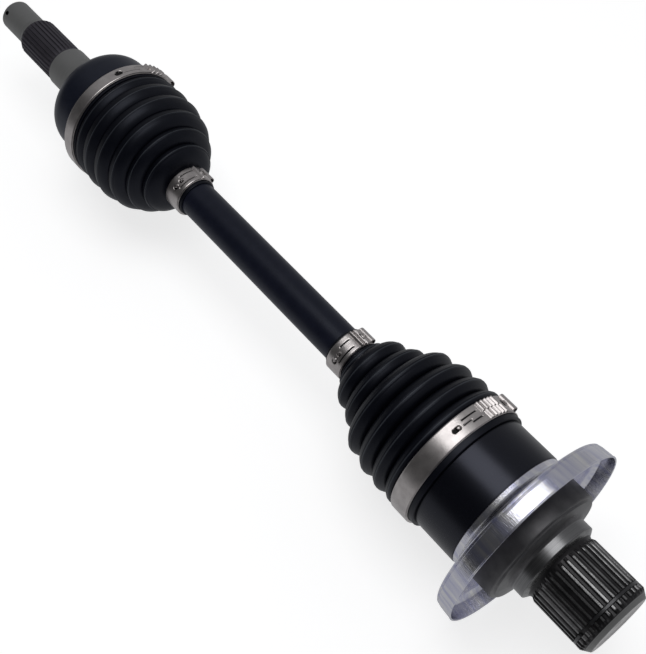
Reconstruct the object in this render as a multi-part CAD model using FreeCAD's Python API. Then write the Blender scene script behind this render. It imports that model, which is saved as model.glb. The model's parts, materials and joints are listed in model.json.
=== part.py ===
"""Drive axle with two constant-velocity joints, one separate solid per real piece.

Frame: millimetres, origin at the middle of the axle's length on its centre line,
+X towards the inboard (gearbox) end, +Z up.
"""
import FreeCAD
import Part
import math
import os

V = FreeCAD.Vector
AXIS = V(1, 0, 0)
HERE = V(0, 0, 0)

# ------------------------------------------------------------------ driving dimensions
END_X = 291.75             # half of the overall length
BAR_R = 12.0               # the bar between the joints
BAR_SPLINE_TIP_R = 11.9
BAR_SPLINE_ROOT_R = 11.0
BAR_SPLINE_TEETH = 24

OUT_CENTRE = -163.5        # bending centre of the outboard joint
IN_CENTRE = 198.0          # bending centre of the inboard joint at mid plunge

BALL_R = 8.0
BALL_PITCH_R = 25.0        # ball centres from the joint's axis
BALL_COUNT = 6
GROOVE_R = 8.75            # groove radius, wide enough for the balls to walk sideways
RACE_R = 21.5              # spherical outside of the inner races
RACE_HALF_WIDTH = 9.5
RACE_BORE_GAP = 0.05
CAGE_IN_R = 21.6
CAGE_OUT_R = 28.9
CAGE_HALF_WIDTH = 10.5
CAGE_WINDOW_R = 8.05
BELL_SPHERE_R = 29.0

TIP_R = 11.1               # plain end of the outboard stub
TIP_END_CHAMFER = 1.5
TIP_INNER_X = -265.2
OUT_SPLINE_R = 14.3
OUT_SPLINE_ROOT_R = 13.4
OUT_SPLINE_TEETH = 30
OUT_SPLINE_X = -259.8
SEAT_X = -220.5            # where the wheel bearing's seat starts
SEAT_R = 15.0
SEAT_CYL_END_X = -203.5
BELL_BACK_X = -188.2
BELL_R = 37.0
BELL_SHOULDER_R = 16.3
BELL_CUFF_X = -157.6       # step that the boot's cuff sits behind
BELL_CUFF_R = 36.0
BELL_MOUTH_X = -145.0
BELL_CAVITY_BACK_X = OUT_CENTRE - 19.0
COTTER_X = -287.0
COTTER_R = 1.6
COTTER_TURN = 132.0        # direction of the cotter hole about the axle, degrees from +Y
BELL_LAND = 12.8           # the ball cage's sphere in the bell ends this far past the centre
BELL_MOUTH_R = 33.2
BELL_NECK_R = 17.6

CUP_MOUTH_X = 166.5
CUP_CUFF_R = 37.8
CUP_CUFF_END_X = 184.0
CUP_R = 38.4
SHIELD_SEAT_X = 212.3
SHIELD_SEAT_R = 36.9
HUB_EDGE_X = 239.2
HUB_FACE_R = 27.5
CUP_BORE_R = 29.0
CUP_BORE_END_X = 231.0
STOP_RING_X = 168.6        # ring at the cup's mouth that keeps the balls in
STOP_RING_R = 30.1
STOP_RING_IN_R = 28.1
JOURNAL_X = 243.3
JOURNAL_END_X = 250.0
JOURNAL_R = 25.3
STUB_SPLINE_X = 253.8
STUB_SPLINE_R = 22.3
STUB_SPLINE_ROOT_R = 21.2
STUB_SPLINE_TEETH = 36
STUB_SPLINE_END_X = 289.4
STUB_END_R = 19.2
SNAP_GROOVE_X = 282.2
SNAP_GROOVE_W = 2.2
SNAP_GROOVE_R = 20.6

SHIELD_T = 1.2
SHIELD_RIM_R = 60.0
SHIELD_OPEN_X = 233.7

BOOT_T = 2.2
CLAMP_T = 0.8
TAIL_END = 262.0           # direction that the top layer of every clamp reaches to, degrees
SMALL_CUFF_R = 13.1
LARGE_CUFF_OUT_R = 40.4    # outboard cuff
LARGE_CUFF_IN_R = 40.3     # inboard cuff
OUT_CLAMP_LARGE = (-155.75, -146.75)
OUT_CLAMP_SMALL = (-79.5, -66.9)
IN_CLAMP_SMALL = (80.9, 93.0)
IN_CLAMP_LARGE = (167.9, 180.3)

BAR_RING_W = 1.6           # the rings that hold the inner races on the bar
RING_GROOVES = (
    OUT_CENTRE - RACE_HALF_WIDTH - 1.7,
    OUT_CENTRE + RACE_HALF_WIDTH + 0.1,
    IN_CENTRE - RACE_HALF_WIDTH - 1.7,
    IN_CENTRE + RACE_HALF_WIDTH + 0.1,
)

os.makedirs("parts", exist_ok=True)


# ------------------------------------------------------------------ helpers
def write(node, shape):
    shape.exportStep("parts/%s.step" % node)


def turned(points):
    """Solid of revolution about the X axis from (x, radius) points."""
    pts = [V(x, r, 0) for x, r in points]
    wire = Part.makePolygon(pts + [pts[0]])
    return Part.Face(wire).revolve(HERE, AXIS, 360)


def turned_edges(edges):
    """Solid of revolution from a closed list of edges."""
    return Part.Face(Part.Wire(edges)).revolve(HERE, AXIS, 360)


def line(a, b):
    return Part.makeLine(V(a[0], a[1], 0), V(b[0], b[1], 0))


def arc3(a, m, b):
    return Part.Arc(V(a[0], a[1], 0), V(m[0], m[1], 0), V(b[0], b[1], 0)).toShape()


def cylinder(r, x0, x1):
    return Part.makeCylinder(r, x1 - x0, V(x0, 0, 0), AXIS)


def sphere(r, x, y=0.0, z=0.0):
    return Part.makeSphere(r, V(x, y, z))


def about_x(shape, degrees):
    out = shape.copy()
    out.rotate(HERE, AXIS, degrees)
    return out


def toothed(teeth, root_r, tip_r, x0, x1, tip_share=0.40, root_share=0.40):
    """A prism along X with straight-sided spline teeth."""
    pts = []
    pitch = 2 * math.pi / teeth
    flank = (1.0 - tip_share - root_share) / 2
    for i in range(teeth):
        a = i * pitch
        steps = (
            (0.0, tip_r),
            (tip_share, tip_r),
            (tip_share + flank, root_r),
            (tip_share + flank + root_share, root_r),
        )
        for share, r in steps:
            t = a + share * pitch
            pts.append(V(x0, r * math.cos(t), r * math.sin(t)))
    face = Part.Face(Part.makePolygon(pts + [pts[0]]))
    return face.extrude(V(x1 - x0, 0, 0))


def split_ring(x0, x1, r_in, r_out, gap_degrees, turn=0.0):
    """A retaining ring with a gap, centred on the direction turn."""
    ring = cylinder(r_out, x0, x1).cut(cylinder(r_in, x0 - 1, x1 + 1))
    half = math.radians(gap_degrees / 2)
    far = r_out * 3
    wedge = Part.Face(
        Part.makePolygon(
            [
                V(x0 - 1, 0, 0),
                V(x0 - 1, far * math.cos(half), far * math.sin(half)),
                V(x0 - 1, far * math.cos(half), -far * math.sin(half)),
                V(x0 - 1, 0, 0),
            ]
        )
    ).extrude(V(x1 - x0 + 2, 0, 0))
    return ring.cut(about_x(wedge, turn))


def ball_angles():
    return [90.0 + i * 360.0 / BALL_COUNT for i in range(BALL_COUNT)]


def curved_groove(centre_x, low, high):
    """A round-bottomed groove that follows a circle about the joint's centre.

    It lies over the +Y direction. low and high are the ends, in degrees from
    the plane of the balls, positive towards +X.
    """
    here = V(centre_x, 0, 0)
    circle = Part.makeCircle(GROOVE_R, V(centre_x, BALL_PITCH_R, 0), AXIS)
    face = Part.Face(Part.Wire([circle]))
    face.rotate(here, V(0, 0, 1), -low)
    groove = face.revolve(here, V(0, 0, 1), -(high - low))
    for end in (low, high):
        t = math.radians(end)
        x = centre_x + BALL_PITCH_R * math.sin(t)
        y = BALL_PITCH_R * math.cos(t)
        groove = groove.fuse(sphere(GROOVE_R, x, y))
    return groove


# ------------------------------------------------------------------ pieces inside a joint
def inner_race(centre_x):
    body = sphere(RACE_R, centre_x)
    body = body.common(cylinder(RACE_R + 1, centre_x - RACE_HALF_WIDTH, centre_x + RACE_HALF_WIDTH))
    bore = toothed(
        BAR_SPLINE_TEETH,
        BAR_SPLINE_ROOT_R + RACE_BORE_GAP,
        BAR_SPLINE_TIP_R + RACE_BORE_GAP,
        centre_x - 20,
        centre_x + 20,
        0.42,
        0.38,
    )
    body = body.cut(bore)
    groove = curved_groove(centre_x, -45, 45)
    for a in ball_angles():
        body = body.cut(about_x(groove, a))
    return body


def cage(centre_x):
    ring = sphere(CAGE_OUT_R, centre_x)
    ring = ring.common(
        cylinder(CAGE_OUT_R + 1, centre_x - CAGE_HALF_WIDTH, centre_x + CAGE_HALF_WIDTH)
    )
    ring = ring.cut(sphere(CAGE_IN_R, centre_x))
    for a in ball_angles():
        window = Part.makeCylinder(CAGE_WINDOW_R, 40, V(centre_x, 0, 0), V(0, 1, 0))
        ring = ring.cut(about_x(window, a))
    return ring


def ball(centre_x, degrees):
    t = math.radians(degrees)
    return sphere(BALL_R, centre_x, BALL_PITCH_R * math.cos(t), BALL_PITCH_R * math.sin(t))


def bar_ring(x0, turn):
    """Split ring that keeps an inner race on the bar."""
    return split_ring(x0, x0 + BAR_RING_W, BAR_SPLINE_ROOT_R - 0.35, 13.2, 24, turn)


# ------------------------------------------------------------------ axle bar
def axle_bar():
    out_end = OUT_CENTRE - 13.0
    in_end = IN_CENTRE + 13.0
    out_shoulder = OUT_CENTRE + 13.5
    in_shoulder = IN_CENTRE - 13.5
    bar = turned(
        [
            (out_shoulder, 0),
            (out_shoulder, BAR_SPLINE_ROOT_R),
            (out_shoulder + 1.0, BAR_R),
            (in_shoulder - 1.0, BAR_R),
            (in_shoulder, BAR_SPLINE_ROOT_R),
            (in_shoulder, 0),
        ]
    )
    limit = turned(
        [
            (out_end, 0),
            (out_end, BAR_SPLINE_ROOT_R - 0.6),
            (out_end + 1.6, BAR_SPLINE_TIP_R + 0.5),
            (in_end - 1.6, BAR_SPLINE_TIP_R + 0.5),
            (in_end, BAR_SPLINE_ROOT_R - 0.6),
            (in_end, 0),
        ]
    )
    for a, b in ((out_end, out_shoulder), (in_shoulder, in_end)):
        spline = toothed(BAR_SPLINE_TEETH, BAR_SPLINE_ROOT_R, BAR_SPLINE_TIP_R, a, b)
        bar = bar.fuse(spline.common(limit))
    for x in RING_GROOVES:
        collar = cylinder(BAR_R + 8, x - 0.05, x + BAR_RING_W + 0.05)
        bar = bar.cut(collar.cut(cylinder(BAR_SPLINE_ROOT_R - 0.4, x - 1, x + 3)))
    return bar


# ------------------------------------------------------------------ outboard bell and stub
def outboard_bell():
    s = BELL_SHOULDER_R
    cx = BELL_BACK_X + s
    cr = BELL_R - s
    c45 = math.cos(math.radians(45))
    neck = (BELL_BACK_X - 3.2, BELL_NECK_R)
    edges = [
        line((-END_X, 0), (-END_X, TIP_R - TIP_END_CHAMFER)),
        line((-END_X, TIP_R - TIP_END_CHAMFER), (-END_X + TIP_END_CHAMFER, TIP_R)),
        line((-END_X + TIP_END_CHAMFER, TIP_R), (TIP_INNER_X, TIP_R)),
        line((TIP_INNER_X, TIP_R), (OUT_SPLINE_X, OUT_SPLINE_ROOT_R)),
        line((OUT_SPLINE_X, OUT_SPLINE_ROOT_R), (SEAT_X, OUT_SPLINE_ROOT_R)),
        line((SEAT_X, OUT_SPLINE_ROOT_R), (SEAT_X, SEAT_R - 0.5)),
        line((SEAT_X, SEAT_R - 0.5), (SEAT_X + 0.5, SEAT_R)),
        line((SEAT_X + 0.5, SEAT_R), (SEAT_CYL_END_X, SEAT_R)),
        line((SEAT_CYL_END_X, SEAT_R), neck),
        arc3(neck, (BELL_BACK_X - 1.0, 18.9), (BELL_BACK_X, cr)),
        arc3((BELL_BACK_X, cr), (cx - s * c45, cr + s * c45), (cx, BELL_R)),
        line((cx, BELL_R), (BELL_CUFF_X, BELL_R)),
        line((BELL_CUFF_X, BELL_R), (BELL_CUFF_X, BELL_CUFF_R)),
        line((BELL_CUFF_X, BELL_CUFF_R), (BELL_MOUTH_X - 0.6, BELL_CUFF_R)),
        line((BELL_MOUTH_X - 0.6, BELL_CUFF_R), (BELL_MOUTH_X, BELL_CUFF_R - 0.6)),
        line((BELL_MOUTH_X, BELL_CUFF_R - 0.6), (BELL_MOUTH_X, 0)),
        line((BELL_MOUTH_X, 0), (-END_X, 0)),
    ]
    body = turned_edges(edges)
    teeth = toothed(
        OUT_SPLINE_TEETH, OUT_SPLINE_ROOT_R, OUT_SPLINE_R, OUT_SPLINE_X - 2.0, SEAT_X
    )
    limit = turned(
        [
            (OUT_SPLINE_X - 2.0, 0),
            (OUT_SPLINE_X - 2.0, OUT_SPLINE_ROOT_R - 0.6),
            (OUT_SPLINE_X + 0.6, OUT_SPLINE_R + 0.05),
            (SEAT_X - 3.0, OUT_SPLINE_R + 0.05),
            (SEAT_X, OUT_SPLINE_ROOT_R),
            (SEAT_X, 0),
        ]
    )
    body = body.fuse(teeth.common(limit))
    cavity = sphere(BELL_SPHERE_R, OUT_CENTRE)
    cavity = cavity.common(cylinder(BELL_SPHERE_R + 1, BELL_CAVITY_BACK_X, OUT_CENTRE + 40))
    land_r = math.sqrt(BELL_SPHERE_R ** 2 - BELL_LAND ** 2)
    mouth = turned(
        [
            (OUT_CENTRE, 0),
            (OUT_CENTRE + BELL_LAND, land_r),
            (BELL_MOUTH_X + 0.1, BELL_MOUTH_R),
            (BELL_MOUTH_X + 0.1, 0),
        ]
    )
    groove = curved_groove(OUT_CENTRE, -20, 62)
    body = body.cut(cavity).cut(mouth)
    for a in ball_angles():
        body = body.cut(about_x(groove, a))
    hole = Part.makeCylinder(COTTER_R, 40, V(COTTER_X, -20, 0), V(0, 1, 0))
    return body.cut(about_x(hole, COTTER_TURN))


# ------------------------------------------------------------------ inboard cup and stub
def inboard_cup():
    edges = [
        line((CUP_MOUTH_X, 0), (CUP_MOUTH_X, CUP_CUFF_R - 0.6)),
        line((CUP_MOUTH_X, CUP_CUFF_R - 0.6), (CUP_MOUTH_X + 0.6, CUP_CUFF_R)),
        line((CUP_MOUTH_X + 0.6, CUP_CUFF_R), (CUP_CUFF_END_X, CUP_CUFF_R)),
        line((CUP_CUFF_END_X, CUP_CUFF_R), (CUP_CUFF_END_X, CUP_R)),
        line((CUP_CUFF_END_X, CUP_R), (SHIELD_SEAT_X, CUP_R)),
        line((SHIELD_SEAT_X, CUP_R), (SHIELD_SEAT_X, SHIELD_SEAT_R)),
        line((SHIELD_SEAT_X, SHIELD_SEAT_R), (HUB_EDGE_X - 1.0, SHIELD_SEAT_R)),
        arc3(
            (HUB_EDGE_X - 1.0, SHIELD_SEAT_R),
            (HUB_EDGE_X - 0.293, SHIELD_SEAT_R - 0.293),
            (HUB_EDGE_X, SHIELD_SEAT_R - 1.0),
        ),
        line((HUB_EDGE_X, SHIELD_SEAT_R - 1.0), (HUB_EDGE_X + 0.2, SHIELD_SEAT_R - 1.6)),
        line((HUB_EDGE_X + 0.2, SHIELD_SEAT_R - 1.6), (HUB_EDGE_X + 1.4, SHIELD_SEAT_R - 1.9)),
        line((HUB_EDGE_X + 1.4, SHIELD_SEAT_R - 1.9), (JOURNAL_X - 1.6, HUB_FACE_R)),
        arc3((JOURNAL_X - 1.6, HUB_FACE_R), (JOURNAL_X - 0.95, 25.95), (JOURNAL_X, JOURNAL_R)),
        line((JOURNAL_X, JOURNAL_R), (JOURNAL_END_X - 0.7, JOURNAL_R)),
        line((JOURNAL_END_X - 0.7, JOURNAL_R), (JOURNAL_END_X + 0.2, JOURNAL_R - 1.2)),
        arc3(
            (JOURNAL_END_X + 0.2, JOURNAL_R - 1.2),
            (JOURNAL_END_X + 1.0, STUB_SPLINE_ROOT_R + 0.5),
            (STUB_SPLINE_X - 1.2, STUB_SPLINE_ROOT_R),
        ),
        line((STUB_SPLINE_X - 1.2, STUB_SPLINE_ROOT_R), (STUB_SPLINE_END_X - 0.8, STUB_SPLINE_ROOT_R)),
        line((STUB_SPLINE_END_X - 0.8, STUB_SPLINE_ROOT_R), (END_X, STUB_END_R)),
        line((END_X, STUB_END_R), (END_X, 0)),
        line((END_X, 0), (CUP_MOUTH_X, 0)),
    ]
    body = turned_edges(edges)
    teeth = toothed(
        STUB_SPLINE_TEETH, STUB_SPLINE_ROOT_R, STUB_SPLINE_R, STUB_SPLINE_X - 1.2, STUB_SPLINE_END_X
    )
    limit = turned(
        [
            (STUB_SPLINE_X - 1.2, 0),
            (STUB_SPLINE_X - 1.2, STUB_SPLINE_ROOT_R),
            (STUB_SPLINE_X + 0.4, STUB_SPLINE_R + 0.05),
            (STUB_SPLINE_END_X - 2.0, STUB_SPLINE_R + 0.05),
            (STUB_SPLINE_END_X, STUB_SPLINE_ROOT_R - 0.4),
            (STUB_SPLINE_END_X, 0),
        ]
    )
    body = body.fuse(teeth.common(limit))
    ring_groove = cylinder(30, SNAP_GROOVE_X, SNAP_GROOVE_X + SNAP_GROOVE_W)
    ring_groove = ring_groove.cut(
        cylinder(SNAP_GROOVE_R, SNAP_GROOVE_X - 1, SNAP_GROOVE_X + SNAP_GROOVE_W + 1)
    )
    body = body.cut(ring_groove)
    bore = turned(
        [
            (CUP_MOUTH_X - 0.1, 0),
            (CUP_MOUTH_X - 0.1, CUP_BORE_R + 1.0),
            (CUP_MOUTH_X + 0.9, CUP_BORE_R),
            (CUP_BORE_END_X - 5.0, CUP_BORE_R),
            (CUP_BORE_END_X, CUP_BORE_R - 9.0),
            (CUP_BORE_END_X, 0),
        ]
    )
    body = body.cut(bore)
    groove = cylinder(GROOVE_R, CUP_MOUTH_X - 1, CUP_BORE_END_X - 9.0)
    groove = groove.fuse(sphere(GROOVE_R, CUP_BORE_END_X - 9.0))
    groove.translate(V(0, BALL_PITCH_R, 0))
    for a in ball_angles():
        body = body.cut(about_x(groove, a))
    seat = cylinder(STOP_RING_R + 0.05, STOP_RING_X - 0.05, STOP_RING_X + 1.65)
    return body.cut(seat)


def inboard_ball_retaining_ring():
    x = STOP_RING_X
    return split_ring(x, x + 1.6, STOP_RING_IN_R, STOP_RING_R, 30, 60)


def stub_snap_ring():
    x = SNAP_GROOVE_X + 0.2
    return split_ring(x, x + 1.8, SNAP_GROOVE_R + 0.05, STUB_SPLINE_R + 0.35, 26, 150)


# ------------------------------------------------------------------ dust shield
def dust_shield():
    """One pressed sheet: a short sleeve on the cup that turns out into a flared dish."""
    t = SHIELD_T
    r0 = SHIELD_SEAT_R + 0.05
    x0 = SHIELD_SEAT_X + 0.1
    rim_x = SHIELD_OPEN_X
    rim_r = SHIELD_RIM_R
    back = [
        (x0, r0),
        (x0, r0 + t),
        (x0 + 3.4, r0 + t + 0.5),
        (x0 + 5.0, r0 + t + 1.4),
        (x0 + 6.2, r0 + t + 3.4),
        (x0 + 7.0, 44.5),
        (x0 + 9.2, 55.6),
        (x0 + 9.9, 57.6),
        (x0 + 10.9, 58.9),
        (x0 + 11.5, 58.5),
        (x0 + 12.3, 59.1),
        (rim_x - 1.2, rim_r - 0.3),
        (rim_x - 0.4, rim_r),
        (rim_x, rim_r - 0.2),
    ]
    front = [
        (rim_x, rim_r - t),
        (x0 + 12.6, 59.1 - t),
        (x0 + 11.2, 58.4 - t),
        (x0 + 10.6, 56.7),
        (x0 + 10.2, 54.9),
        (x0 + 8.1, 44.3),
        (x0 + 7.3, r0 + t + 2.8),
        (x0 + 6.2, r0 + 1.8),
        (x0 + 5.2, r0 + 0.8),
        (x0 + 4.4, r0),
    ]
    return turned(back + front)


# ------------------------------------------------------------------ boots
def flank(start, end, low, top, bulge):
    """One side of a bell, drawn from start to end; low is its valley and top its crest."""
    mid = (low[0] + (top[0] - low[0]) * (1 - bulge), low[1] + (top[1] - low[1]) * bulge)
    return arc3(start, mid, end)


def bellows(valleys, peaks, bulge):
    """Outline of a row of bells: rounded tops between narrow valleys, as (x, radius)."""
    edges = []
    for i, top in enumerate(peaks):
        edges.append(flank(valleys[i], top, valleys[i], top, bulge))
        edges.append(flank(top, valleys[i + 1], valleys[i + 1], top, bulge))
    return edges


def outboard_boot():
    valleys = [
        (-144.6, 38.4),
        (-136.4, 38.0),
        (-124.3, 37.2),
        (-111.4, 35.6),
        (-99.4, 30.8),
        (-90.8, 24.0),
        (-80.9, 15.2),
    ]
    peaks = [
        (-141.4, 40.9),
        (-130.6, 41.4),
        (-118.2, 40.9),
        (-106.2, 38.0),
        (-95.8, 32.2),
        (-87.0, 25.4),
    ]
    cuff_a = (BELL_CUFF_X + 0.1, BELL_CUFF_R + 0.05, LARGE_CUFF_OUT_R)
    cuff_b = (-64.7, BAR_R + 0.05, SMALL_CUFF_R)
    return valleys, peaks, cuff_a, cuff_b


def inboard_boot():
    valleys = [
        (94.6, 14.4),
        (99.0, 16.4),
        (111.0, 21.6),
        (122.6, 26.6),
        (136.2, 33.0),
        (148.8, 35.6),
        (160.2, 36.8),
        (167.2, 40.1),
    ]
    peaks = [
        (97.0, 17.0),
        (105.2, 24.8),
        (117.2, 29.5),
        (129.6, 38.0),
        (142.8, 40.8),
        (154.8, 41.6),
        (165.2, 41.6),
    ]
    cuff_a = (79.0, BAR_R + 0.05, SMALL_CUFF_R)
    cuff_b = (CUP_CUFF_END_X - 0.1, CUP_CUFF_R + 0.05, LARGE_CUFF_IN_R)
    return valleys, peaks, cuff_a, cuff_b


def boot_solid(valleys, peaks, cuff_a, cuff_b):
    """A boot turned as one wall: outer line, back along the inner line."""
    t = BOOT_T
    edges = []
    a_x, a_in, a_out = cuff_a
    b_x, b_in, b_out = cuff_b
    v0 = valleys[0]
    v1 = valleys[-1]
    edges.append(line((a_x, a_in), (a_x, a_out)))
    shoulder_a = (v0[0] - 0.8, a_out)
    shoulder_b = (v1[0] + 0.8, b_out)
    edges.append(line((a_x, a_out), shoulder_a))
    edges.append(line(shoulder_a, v0))
    edges += bellows(valleys, peaks, 0.68)
    edges.append(line(v1, shoulder_b))
    edges.append(line(shoulder_b, (b_x, b_out)))
    edges.append(line((b_x, b_out), (b_x, b_in)))
    foot_b = (v1[0] + 0.3, b_in)
    foot_a = (v0[0] - 0.3, a_in)
    last = (v1[0], max(v1[1] - t, b_in))
    first = (v0[0], max(v0[1] - t, a_in))
    edges.append(line((b_x, b_in), foot_b))
    if last[1] > b_in + 1e-6 or abs(foot_b[0] - last[0]) > 1e-6:
        edges.append(line(foot_b, last))
    inner = [(x, r - t) for x, r in valleys]
    inner[0] = first
    inner[-1] = last
    tops = [(x, r - t) for x, r in peaks]
    edges += bellows(inner[::-1], tops[::-1], 0.60)
    edges.append(line(first, foot_a))
    edges.append(line(foot_a, (a_x, a_in)))
    return turned_edges(edges)


# ------------------------------------------------------------------ boot clamps
def sector(x0, x1, radius, low, high):
    """A wedge about the X axis between two angles in degrees, used to keep part of a ring."""
    pts = [V(x0, 0, 0)]
    steps = 6
    for i in range(steps + 1):
        t = math.radians(low + (high - low) * i / steps)
        pts.append(V(x0, radius * math.cos(t), radius * math.sin(t)))
    face = Part.Face(Part.makePolygon(pts + [pts[0]]))
    return face.extrude(V(x1 - x0, 0, 0))


def lug(x, r, angle, size):
    """A box that stands on the band at an angle; size is along X, outwards and round the band."""
    wide, high, long = size
    box = Part.makeBox(wide, high, long, V(x - wide / 2, r, -long / 2))
    return about_x(box, angle)


def band_clamp(x0, x1, cuff_r, slots, folds, ear_angle):
    """Steel band whose tail lies over its first turn.

    slots are the angles of the windows that the hooks sit in, folds the angles of
    the crimps that take up slack, and ear_angle is where the top layer ends in an ear.
    """
    r_in = cuff_r + 0.05
    r_out = r_in + CLAMP_T
    r_top = r_out + CLAMP_T
    mid = (x0 + x1) / 2
    width = x1 - x0
    large = cuff_r > 30
    band = cylinder(r_out, x0, x1).cut(cylinder(r_in, x0 - 1, x1 + 1))
    tail = cylinder(r_top, x0 + 0.3, x1 - 0.3).cut(cylinder(r_out - 0.1, x0 - 1, x1 + 1))
    tail = tail.common(sector(x0 - 1, x1 + 1, r_top * 1.3, ear_angle, TAIL_END))
    clamp = band.fuse(tail)
    for angle in folds:
        clamp = clamp.fuse(lug(mid, r_top - 0.4, angle, (width - 0.6, 1.2, 1.3)))
    ear_high = 2.9 if large else 2.5
    ear_long = 5.0 if large else 3.6
    clamp = clamp.fuse(lug(mid, r_out - 0.3, ear_angle, (width - 0.6, ear_high, ear_long)))
    clamp = clamp.cut(lug(mid, r_out + 0.5, ear_angle, (width + 2, ear_high - 1.6, ear_long - 1.6)))
    for angle in slots:
        clamp = clamp.cut(lug(mid, r_out + 0.02, angle, (width * 0.26, 4.0, 4.0 if large else 3.0)))
        hook_angle = angle - math.degrees(1.2 / r_top)
        clamp = clamp.fuse(lug(mid, r_out - 0.2, hook_angle, (width * 0.18, 1.8, 1.2)))
    return clamp


# ------------------------------------------------------------------ write every piece
write("axle_bar", axle_bar())
write("outboard_bell", outboard_bell())
write("inboard_cup", inboard_cup())
for side, centre in (("outboard", OUT_CENTRE), ("inboard", IN_CENTRE)):
    write(side + "_inner_race", inner_race(centre))
    write(side + "_cage", cage(centre))
    for number, angle in enumerate(ball_angles()):
        write("%s_ball_%d" % (side, number + 1), ball(centre, angle))
write("outboard_race_end_ring", bar_ring(RING_GROOVES[0], 30))
write("outboard_race_stop_ring", bar_ring(RING_GROOVES[1], 75))
write("inboard_race_stop_ring", bar_ring(RING_GROOVES[2], 75))
write("inboard_race_end_ring", bar_ring(RING_GROOVES[3], 30))
write("inboard_ball_retaining_ring", inboard_ball_retaining_ring())
write("stub_snap_ring", stub_snap_ring())
write("dust_shield", dust_shield())
write("outboard_boot", boot_solid(*outboard_boot()))
write("inboard_boot", boot_solid(*inboard_boot()))
write(
    "outboard_boot_clamp_large",
    band_clamp(*OUT_CLAMP_LARGE, LARGE_CUFF_OUT_R, (81.4,), (52, 47.5, 43, 38.5, 34), 20),
)
write(
    "outboard_boot_clamp_small",
    band_clamp(*OUT_CLAMP_SMALL, SMALL_CUFF_R, (129, 111), (56, 46), 26),
)
write(
    "inboard_boot_clamp_small",
    band_clamp(*IN_CLAMP_SMALL, SMALL_CUFF_R, (152, 132), (77, 67), 44),
)
write(
    "inboard_boot_clamp_large",
    band_clamp(*IN_CLAMP_LARGE, LARGE_CUFF_IN_R, (96,), (70, 65.5, 61, 56.5, 52), 36),
)
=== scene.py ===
import bmesh
import bpy
import json
import math
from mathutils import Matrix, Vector


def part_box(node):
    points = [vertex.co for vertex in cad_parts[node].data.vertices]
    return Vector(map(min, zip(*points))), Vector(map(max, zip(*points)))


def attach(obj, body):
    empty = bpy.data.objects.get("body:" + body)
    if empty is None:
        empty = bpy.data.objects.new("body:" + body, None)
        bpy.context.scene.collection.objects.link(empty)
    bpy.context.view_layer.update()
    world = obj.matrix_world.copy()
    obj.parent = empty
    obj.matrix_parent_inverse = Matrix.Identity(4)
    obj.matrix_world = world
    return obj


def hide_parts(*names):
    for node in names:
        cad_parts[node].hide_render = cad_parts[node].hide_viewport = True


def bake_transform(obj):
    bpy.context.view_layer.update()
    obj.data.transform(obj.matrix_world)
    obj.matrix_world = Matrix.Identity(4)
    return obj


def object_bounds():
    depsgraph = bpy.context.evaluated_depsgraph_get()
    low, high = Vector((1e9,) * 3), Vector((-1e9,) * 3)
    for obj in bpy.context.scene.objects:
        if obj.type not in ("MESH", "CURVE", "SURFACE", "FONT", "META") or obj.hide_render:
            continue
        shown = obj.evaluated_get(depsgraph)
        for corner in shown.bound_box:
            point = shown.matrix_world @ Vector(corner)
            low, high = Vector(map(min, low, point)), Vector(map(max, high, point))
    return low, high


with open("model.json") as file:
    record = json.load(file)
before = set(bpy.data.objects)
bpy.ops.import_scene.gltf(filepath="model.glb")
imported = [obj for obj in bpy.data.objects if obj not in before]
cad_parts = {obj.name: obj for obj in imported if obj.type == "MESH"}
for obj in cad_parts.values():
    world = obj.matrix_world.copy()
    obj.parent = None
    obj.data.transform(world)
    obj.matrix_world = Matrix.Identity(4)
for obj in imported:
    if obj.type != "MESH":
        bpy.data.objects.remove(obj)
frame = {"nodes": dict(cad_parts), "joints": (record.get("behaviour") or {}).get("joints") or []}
CAD_LO, CAD_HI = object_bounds()

MM = 0.001
TURN = 2 * math.pi
ON_AXIS = 1e-6              # a radius in mm below which an outline has reached the axis
FILLET_SHARE = 0.48         # the most of a stretch that the fillet at one end of it takes


# ------------------------------------------------------------------ mesh helpers
def linked(name, data):
    obj = bpy.data.objects.new(name, data)
    bpy.context.scene.collection.objects.link(obj)
    return obj


def smooth_object(name, mesh, sharp_degrees):
    """An object with smooth faces and sharp edges where they meet at more than sharp_degrees."""
    mesh.polygons.foreach_set("use_smooth", [True] * len(mesh.polygons))
    mesh.set_sharp_from_angle(angle=math.radians(sharp_degrees))
    mesh.update()
    return linked(name, mesh)


def mesh_object(name, verts, faces, sharp_degrees):
    mesh = bpy.data.meshes.new(name)
    mesh.from_pydata(verts, [], faces)
    mesh.validate()
    return smooth_object(name, mesh, sharp_degrees)


def lathe(name, outline, segments, radius, sharp_degrees):
    """Closed solid turned about the X axis. outline holds (x, r) in mm from pole to pole, or a closed loop.

    radius(x, r, angle, index) changes r round the turn, for teeth and grooves. It may be None.
    """
    verts = []
    faces = []
    rings = []
    for index, (x, r) in enumerate(outline):
        if r <= ON_AXIS:
            rings.append([len(verts)])
            verts.append((x * MM, 0.0, 0.0))
            continue
        ring = []
        for k in range(segments):
            t = TURN * k / segments
            rr = radius(x, r, t, index) if radius else r
            ring.append(len(verts))
            verts.append((x * MM, rr * math.cos(t) * MM, rr * math.sin(t) * MM))
        rings.append(ring)
    pairs = list(zip(rings[:-1], rings[1:]))
    is_loop = len(rings[0]) > 1
    if is_loop:
        pairs.append((rings[-1], rings[0]))
    for a, b in pairs:
        for k in range(segments):
            n = (k + 1) % segments
            if len(a) == 1:
                faces.append((a[0], b[n], b[k]))
            elif len(b) == 1:
                faces.append((a[k], a[n], b[0]))
            else:
                faces.append((a[k], a[n], b[n], b[k]))
    return mesh_object(name, verts, faces, sharp_degrees)


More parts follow.
